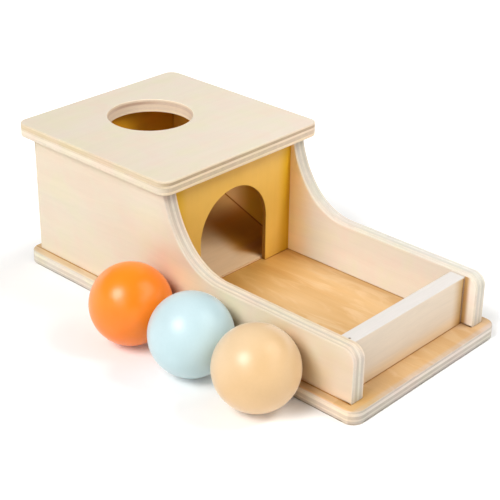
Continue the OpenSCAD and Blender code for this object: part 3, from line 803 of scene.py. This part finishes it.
LID_PLIES = {
    "x": [
        (1.15, "f", (1.00, 0.94, 0.86)),
        (2.85, "c", (0.70, 0.60, 0.49)),
        (4.40, "f", (1.12, 1.06, 0.98)),
        (6.70, "c", (0.88, 0.80, 0.71)),
        (9.00, "f", (1.16, 1.08, 0.95)),
    ],
    "y": [
        (1.20, "f", (0.98, 0.92, 0.85)),
        (3.60, "c", (0.90, 0.81, 0.66)),
        (4.60, "f", (0.96, 0.92, 0.87)),
        (6.90, "c", (1.05, 1.03, 1.04)),
        (9.00, "f", (1.00, 0.98, 0.97)),
    ],
}
NEAR_PLIES = {
    "x": [
        (2.55, "f", (1.01, 1.02, 1.10)),
        (4.45, "c", (0.80, 0.80, 0.83)),
        (6.40, "f", (1.01, 1.07, 1.18)),
        (8.40, "c", (0.79, 0.80, 0.88)),
        (10.0, "f", (1.10, 1.10, 1.18)),
    ],
    "z": [
        (0.75, "f", (1.03, 1.02, 1.03)),
        (2.00, "c", (0.93, 0.90, 0.88)),
        (3.60, "f", (1.11, 1.10, 1.12)),
        (5.50, "c", (0.93, 0.94, 0.97)),
        (7.60, "f", (1.12, 1.11, 1.11)),
        (8.40, "c", (1.00, 0.93, 0.87)),
        (10.0, "f", (1.05, 0.98, 0.89)),
    ],
}
FAR_PLIES = {
    "x": [
        (2.00, "f", (0.82, 0.81, 0.78)),
        (4.00, "c", (0.67, 0.68, 0.66)),
        (6.00, "f", (0.80, 0.80, 0.78)),
        (8.00, "c", (0.69, 0.69, 0.68)),
        (10.0, "f", (0.84, 0.82, 0.76)),
    ],
    "z": [
        (1.60, "f", (0.88, 0.90, 0.93)),
        (2.60, "c", (0.78, 0.81, 0.84)),
        (4.30, "f", (0.84, 0.87, 0.90)),
        (6.00, "c", (0.77, 0.79, 0.79)),
        (10.0, "f", (0.85, 0.84, 0.81)),
    ],
}
BACK_PLIES = {
    "y": [(1.8, "f", (1.0, 1.0, 1.0)), (3.6, "c", (0.74, 0.72, 0.70)), (5.4, "f", (0.98, 0.99, 1.02)), (7.2, "c", (0.76, 0.74, 0.72)), (9.0, "f", (1.0, 1.0, 1.0))],
    "z": [(1.8, "f", (1.0, 1.0, 1.0)), (3.6, "c", (0.72, 0.70, 0.68)), (5.4, "f", (0.98, 0.99, 1.02)), (7.2, "c", (0.74, 0.72, 0.70)), (9.0, "f", (1.0, 1.0, 1.0))],
}
BASE_PLIES = {
    "x": [
        (0.30, "f", (0.92, 0.85, 0.78)),
        (1.45, "c", (0.72, 0.69, 0.68)),
        (3.40, "f", (0.95, 0.95, 0.98)),
        (5.30, "c", (0.67, 0.65, 0.65)),
        (6.55, "f", (0.83, 0.84, 0.86)),
        (8.15, "c", (0.66, 0.67, 0.69)),
        (9.00, "f", (1.20, 1.22, 1.26)),
    ],
    "y": [
        (0.30, "f", (0.92, 0.77, 0.60)),
        (1.45, "c", (0.89, 0.79, 0.67)),
        (3.40, "f", (0.96, 0.87, 0.77)),
        (5.30, "c", (0.79, 0.70, 0.62)),
        (6.55, "f", (0.89, 0.81, 0.72)),
        (8.15, "c", (0.74, 0.65, 0.60)),
        (9.00, "f", (0.70, 0.62, 0.55)),
    ],
}


def make_materials():
    m = {}
    m["lid"] = plywood("birch_lid", "z", 98.0, 89.0, LID_PLIES, "y", "x", LID, 1.0, face_tone=0.30, warm=(0.99, 0.99, 0.94), detail=lid_detail)
    m["right"] = plywood("birch_right", "y", -62.0, -52.0, NEAR_PLIES, "x", "z", SIDE, 2.0, face_tone=0.36, warm=(1.010, 0.982, 0.95), detail=side_detail(-1))
    m["left"] = plywood("birch_left", "y", 62.0, 52.0, FAR_PLIES, "x", "z", FAR, 3.0, face_tone=0.36, warm=(1.010, 0.982, 0.95), detail=side_detail(1))
    m["back"] = plywood("birch_back", "x", -133.0, -124.0, BACK_PLIES, "y", "z", BACK, 4.0, face_tone=0.7, detail=back_detail)
    m["base"] = plywood("honey_base", "z", 9.0, 0.0, BASE_PLIES, "y", "x", BASE, 6.0, rough=0.42, figure=1.2, skin=(0.16, HONEY, HONEY_DEEP), detail=base_detail)
    m["ramp"] = solid_wood("ramp_ply", "y", (0.800, 0.560, 0.330), (0.660, 0.430, 0.220), 7.0, 0.55, 0.6, detail=ramp_detail)
    m["end"] = solid_wood("end_wood", "y", (0.730, 0.612, 0.480), (0.690, 0.565, 0.425), 8.0, 0.5, 0.5, detail=end_detail)
    m["strip"] = solid_wood("pine_strip", "x", (0.62, 0.45, 0.26), (0.46, 0.30, 0.15), 9.0, 0.6)
    m["dowel"] = solid_wood("beech_dowel", "z", (0.62, 0.46, 0.29), (0.50, 0.34, 0.20), 10.0, 0.6)
    m["arch"] = painted_board("mustard_paint", (0.880, 0.533, 0.100), (0.850, 0.508, 0.088), 11.0, arch_detail)
    # the last tuple of each ball tints its painted light on the upper side
    m["orange"] = ball_paint("orange_gloss", (0.925, 0.222, 0.005), (0.910, 0.209, 0.004), 1.0, 0.29, 0.50, 0.07, (1.0, 1.16, 1.9))
    m["blue"] = ball_paint("blue_gloss", (0.508, 0.668, 0.700), (0.494, 0.652, 0.678), 2.0, 0.30, 0.42, 0.24, (1.07, 1.03, 1.03))
    m["cream"] = ball_paint("cream_gloss", (0.716, 0.474, 0.240), (0.698, 0.456, 0.224), 3.0, 0.30, 0.50, 0.36, (1.07, 1.17, 1.38))
    m["screw"] = screw_metal("zinc_screw")
    return m


# ---------------------------------------------------------------- pieces


def side_outline():
    """Outline of a side panel from its back end, up from the base plate, with the radius of each edge's rounding."""
    L, H, T, SX = 264.5, 80.0, 33.0, 164.0
    R1, R2, J, RC = 40.0, 67.0, 38.0, 8.0
    low = (SX, T + R1)
    high = (low[0] + (R2 - R1) * math.cos(math.radians(J)), low[1] + (R2 - R1) * math.sin(math.radians(J)))
    top = 180 + math.degrees(math.asin((high[1] - H) / R2))
    e = 0.75
    return path(
        (0.4, [(0.3, 0.0), (L - 0.3, 0.0)]),
        (e, [(L, 0.3)]),
        (e, arc(L - RC, T - RC, RC, 0, 90, 0.7)),
        (e, [(SX, T)]),
        (e, arc(low[0], low[1], R1, 270, 180 + J, 1.1)),
        (e, arc(high[0], high[1], R2, 180 + J, top, 1.1)),
        (0.2, [(high[0] + R2 * math.cos(math.radians(top)) - 0.02, H), (0.4, H)]),
        (0.6, [(0.0, H - 0.3), (0.0, 0.3)]),
    )


def make_pieces(m):
    made = {}

    def add(o, node, mat, body="box"):
        o.data.materials.append(mat)
        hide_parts(node)
        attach(o, body)
        made[node] = o

    # base plate, with the countersunk ways of its screws
    ways = [(x, s * 57.0) for x in (24, 132, 234) for s in (-1, 1)] + [(4.5, s * 28.0) for s in (-1, 1)] + [(251.2, s * 28.0) for s in (-1, 1)]
    outline = rounded_rect(278, 136, 8, 0.8)
    add(base_plate(outline, [(X0 + x, y) for x, y in ways]), "base_plate", m["base"])

    pts, rad = side_outline()
    for node, s, mat in (("left_side_panel", 1, "left"), ("right_side_panel", -1, "right")):
        o = plate(node + "_shape", [(pts, rad)], 10.0, lambda u, v, w, s=s: (X0 + u, s * (52.0 + w), 9.0 + v))
        add(o, node, m[mat])

    back = path((0.3, [(-51.9, 9.05), (51.9, 9.05), (51.9, 88.95), (-51.9, 88.95)]))
    add(plate("back_panel_shape", [back], 9.0, lambda u, v, w: (X0 + w, u, v)), "back_panel", m["back"])

    door = arc(0, 41.0, 29.5, 0, 180, 0.8)
    arch = path(
        (0.2, [(-53.9, 9.05), (-29.5, 9.05)]),
        (0.35, [(-29.5, 41.0)]),
        (0.35, door[::-1]),
        (0.35, [(29.5, 9.05)]),
        (0.2, [(53.9, 9.05), (53.9, 88.95), (-53.9, 88.95)]),
    )
    add(plate("arch_panel_shape", [arch], 3.0, lambda u, v, w: (X0 + 114.3 + w, u, v), steps=3), "arch_panel", m["arch"])

    lid = rounded_rect(136, 136.5, 7, 0.85, X0 - 9.1 + 68)
    hole = circle(X0 + 42, 0, 27.5, 0.5, 1.0)
    add(plate("lid_shape", [lid, hole], 9.0, lambda u, v, w: (u, v, 89.0 + w)), "lid", m["lid"])

    sl = math.radians(19.7)
    co, si = math.cos(sl), math.sin(sl)
    heel = RAMP_FRONT - (RAMP_T / co - RAMP_TIP) / RAMP_TAN

    def ramp_under(x):
        return 9.05 + RAMP_TIP + (RAMP_FRONT - x) * RAMP_TAN - RAMP_T / co

    def on_ramp(x, y, z):
        return (X0 + heel + x * co + z * si, y, 9.05 - x * si + z * co)

    b = 9.3
    ramp = path((0.3, [(b, ramp_under(b))]), (0.12, [(heel, 9.05), (RAMP_FRONT, 9.05)]), (0.3, [(RAMP_FRONT, 9.05 + RAMP_TIP)]), (0.3, [(b + RAMP_T * si, ramp_under(b) + RAMP_T * co)]))
    add(plate("ramp_shape", [ramp], 103.6, lambda u, v, w: (X0 + u, -51.8 + w, v), steps=3), "ramp", m["ramp"])

    for node, y in (("ramp_left_cleat", 43.9), ("ramp_right_cleat", -51.9)):
        o = plate(node + "_shape", [path((0.4, [(-91, y), (-29, y), (-29, y + 8), (-91, y + 8)]))], 8.0, lambda u, v, w: on_ramp(u, v, -8.05 + w), steps=3)
        add(o, node, m["strip"])
    foot = ramp_under(21) - 10
    rear = path((0.4, [(9.1, foot), (21, foot), (21, ramp_under(21) - 0.05), (9.1, ramp_under(9.1) - 0.05)]))
    add(plate("ramp_rear_cleat_shape", [rear], 102.0, lambda u, v, w: (X0 + u, -51.0 + w, v), steps=3), "ramp_rear_cleat", m["strip"])

    end = path((0.35, [(0.2, 9.05), (9.8, 9.05)]), (0.45, [(10, 9.3)]), (0.45, arc(9.5, 40.4, 0.5, 0, 90, 0.2)), (0.45, arc(0.5, 40.4, 0.5, 90, 180, 0.2)), (0.45, [(0, 9.3)]))
    add(plate("tray_end_board_shape", [end], 102.6, lambda u, v, w: (X0 + 246.2 + u, -51.3 + w, v)), "tray_end_board", m["end"])

    for node, i, mat, slot, turn in (
        ("ball_orange", -1, "orange", "orange_gloss", (0.9, 0.2, 1.3)),
        ("ball_blue", 0, "blue", "blue_gloss", (1.9, -0.6, 0.4)),
        ("ball_cream", 1, "cream", "cream_gloss", (-0.8, 1.1, 2.2)),
    ):
        add(ball(node + "_shape", (35.8 + i * 50.3, -89.0, 25.0), turn, 10.0 + i), node, m[mat], node)

    for node, mat in (("lid_dowels", "dowel"), ("back_panel_dowels", "dowel"), ("tray_end_dowels", "dowel"), ("base_screws", "screw")):
        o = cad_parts[node]
        if not o.material_slots:
            o.data.materials.append(m[mat])
        for s in o.material_slots:
            s.material = m[mat]
    return made


def base_plate(outline, ways):
    """The base plate's board with its screw ways: countersinks from below, plain holes above."""
    loops = [outline]
    for cx, cy in ways:
        p, _ = path((0.1, arc(cx, cy, 2.05, 0, 360, 0.45)))
        loops.append((p, [0.05] * len(p), [0.05] * len(p)))
    o = plate("base_plate_shape", loops, 9.0, lambda u, v, w: (u, v, w), levels=(0.7, 2.35))
    # open each hole's lower end into a countersink: move its low rings out, down to where the cone ends
    me = o.data
    for v in me.vertices:
        x, y, z = v.co.x / MM, v.co.y / MM, v.co.z / MM
        for cx, cy in ways:
            d = math.hypot(x - cx, y - cy)
            if d < 3.2 and z < 1.0:
                grow = 3.7 + max(0.0, d - 2.05)
                v.co.x, v.co.y = (cx + (x - cx) / d * grow) * MM, (cy + (y - cy) / d * grow) * MM
                break
    return o


def ball(name, centre, turn, seed):
    """A turned wooden ball: a fine quad sphere with two tiny pole flats, faint turning rings and no point outside its radius."""
    n = 40
    verts, faces, index = [], [], {}
    rot = Matrix.Rotation(turn[2], 3, "Z") @ Matrix.Rotation(turn[1], 3, "Y") @ Matrix.Rotation(turn[0], 3, "X")
    pole = rot @ Vector((0, 0, 1))

    def vertex(d):
        key = tuple(round(c, 7) for c in d)
        if key not in index:
            lat = abs(d.dot(pole))
            r = 24.985
            r -= 0.010 * (0.5 + 0.5 * math.sin(math.degrees(math.acos(min(1.0, lat))) * 0.9 + seed))
            r -= 0.020 * (0.5 + 0.5 * noise.noise(d * 1.6 + Vector((seed, 3.1, 7.7))))
            if lat * r > 24.93:
                r = 24.93 / lat
            index[key] = len(verts)
            verts.append(Vector(centre) + d * r)
        return index[key]

    for axis in range(3):
        for s in (-1, 1):
            grid = []
            for i in range(n + 1):
                row = []
                for j in range(n + 1):
                    a, b = math.tan(math.pi / 4 * (2 * i / n - 1)), math.tan(math.pi / 4 * (2 * j / n - 1))
                    d = [0, 0, 0]
                    d[axis], d[(axis + 1) % 3], d[(axis + 2) % 3] = s, a, b
                    row.append(vertex(Vector(d).normalized()))
                grid.append(row)
            for i in range(n):
                for j in range(n):
                    faces.append((grid[i][j], grid[i + 1][j], grid[i + 1][j + 1], grid[i][j + 1]))
    return new_object(name, verts, faces, 60.0)


# ---------------------------------------------------------------- stage


def make_stage():
    me = bpy.data.meshes.new("floor")
    me.from_pydata([(-4, -4, 0), (4, -4, 0), (4, 4, 0), (-4, 4, 0)], [], [(0, 1, 2, 3)])
    floor = bpy.data.objects.new("floor", me)
    floor.location.z = -0.0002
    bpy.context.scene.collection.objects.link(floor)
    me.materials.append(floor_paper("floor_paper"))

    # a low white screen round the floor, which closes the horizon and shows in the paint's reflections
    n, r = 96, 3.9
    ring = [(r * math.cos(2 * math.pi * i / n), r * math.sin(2 * math.pi * i / n)) for i in range(n)]
    me = bpy.data.meshes.new("screen")
    me.from_pydata([(x, y, z) for z in (-0.0002, 1.4) for x, y in ring], [], [(i, (i + 1) % n, n + (i + 1) % n, n + i) for i in range(n)])
    screen = bpy.data.objects.new("screen", me)
    bpy.context.scene.collection.objects.link(screen)
    mat = bpy.data.materials.new("screen_white")
    mat.use_nodes = True
    bsdf = mat.node_tree.nodes["Principled BSDF"]
    bsdf.inputs["Base Color"].default_value = (0.9, 0.9, 0.9, 1.0)
    bsdf.inputs["Roughness"].default_value = 0.9
    bsdf.inputs["Emission Color"].default_value = (1.0, 1.0, 1.0, 1.0)
    bsdf.inputs["Emission Strength"].default_value = 0.7
    me.materials.append(mat)
    screen.visible_diffuse = False
    screen.visible_shadow = False

    world = bpy.data.worlds.new("world")
    bpy.context.scene.world = world
    world.use_nodes = True
    world.node_tree.nodes["Background"].inputs[0].default_value = (1.0, 1.0, 1.0, 1.0)
    world.node_tree.nodes["Background"].inputs[1].default_value = 0.20

    def far_softbox(name, az, el, strength, width):
        """A softbox so far away that its light doesn't fall off over the scene, width degrees across."""
        li = bpy.data.lights.new(name, "SUN")
        li.energy = strength
        li.angle = math.radians(width)
        o = bpy.data.objects.new(name, li)
        bpy.context.scene.collection.objects.link(o)
        a, e = math.radians(az), math.radians(el)
        o.rotation_euler = Vector((math.cos(e) * math.cos(a), math.cos(e) * math.sin(a), math.sin(e))).to_track_quat("Z", "Y").to_euler()
        o.location = Vector((math.cos(e) * math.cos(a), math.cos(e) * math.sin(a), math.sin(e))) * 0.9

    far_softbox("softbox_left", -97, 47, 1.97, 32)
    far_softbox("softbox_left_core", -97, 47, 0.38, 13)
    far_softbox("softbox_front", -76, 30, 0.42, 30)
    far_softbox("reflector", 5, 32, 0.35, 30)

    li = bpy.data.lights.new("softbox_right", "AREA")
    li.shape, li.size, li.energy = "DISK", 0.34, 3.3
    o = bpy.data.objects.new("softbox_right", li)
    bpy.context.scene.collection.objects.link(o)
    o.location = Vector((451.0, 268.0, 670.0)) * MM
    o.rotation_euler = (o.location - Vector((-30.0, 0.0, 30.0)) * MM).to_track_quat("Z", "Y").to_euler()
    o.visible_glossy = False
    # the same light as the paint reflects it: wider and much fainter
    li = bpy.data.lights.new("softbox_right_sheen", "AREA")
    li.shape, li.size, li.energy = "DISK", 0.52, 2.2
    wide = bpy.data.objects.new("softbox_right_sheen", li)
    bpy.context.scene.collection.objects.link(wide)
    wide.location, wide.rotation_euler = o.location, o.rotation_euler
    wide.visible_diffuse = False

    vs = bpy.context.scene.view_settings
    vs.view_transform = "Standard"
    vs.look = "None"
    vs.exposure = 0.0
    vs.gamma = 1.0


make_camera()
make_pieces(make_materials())
make_stage()

bpy.context.view_layer.update()
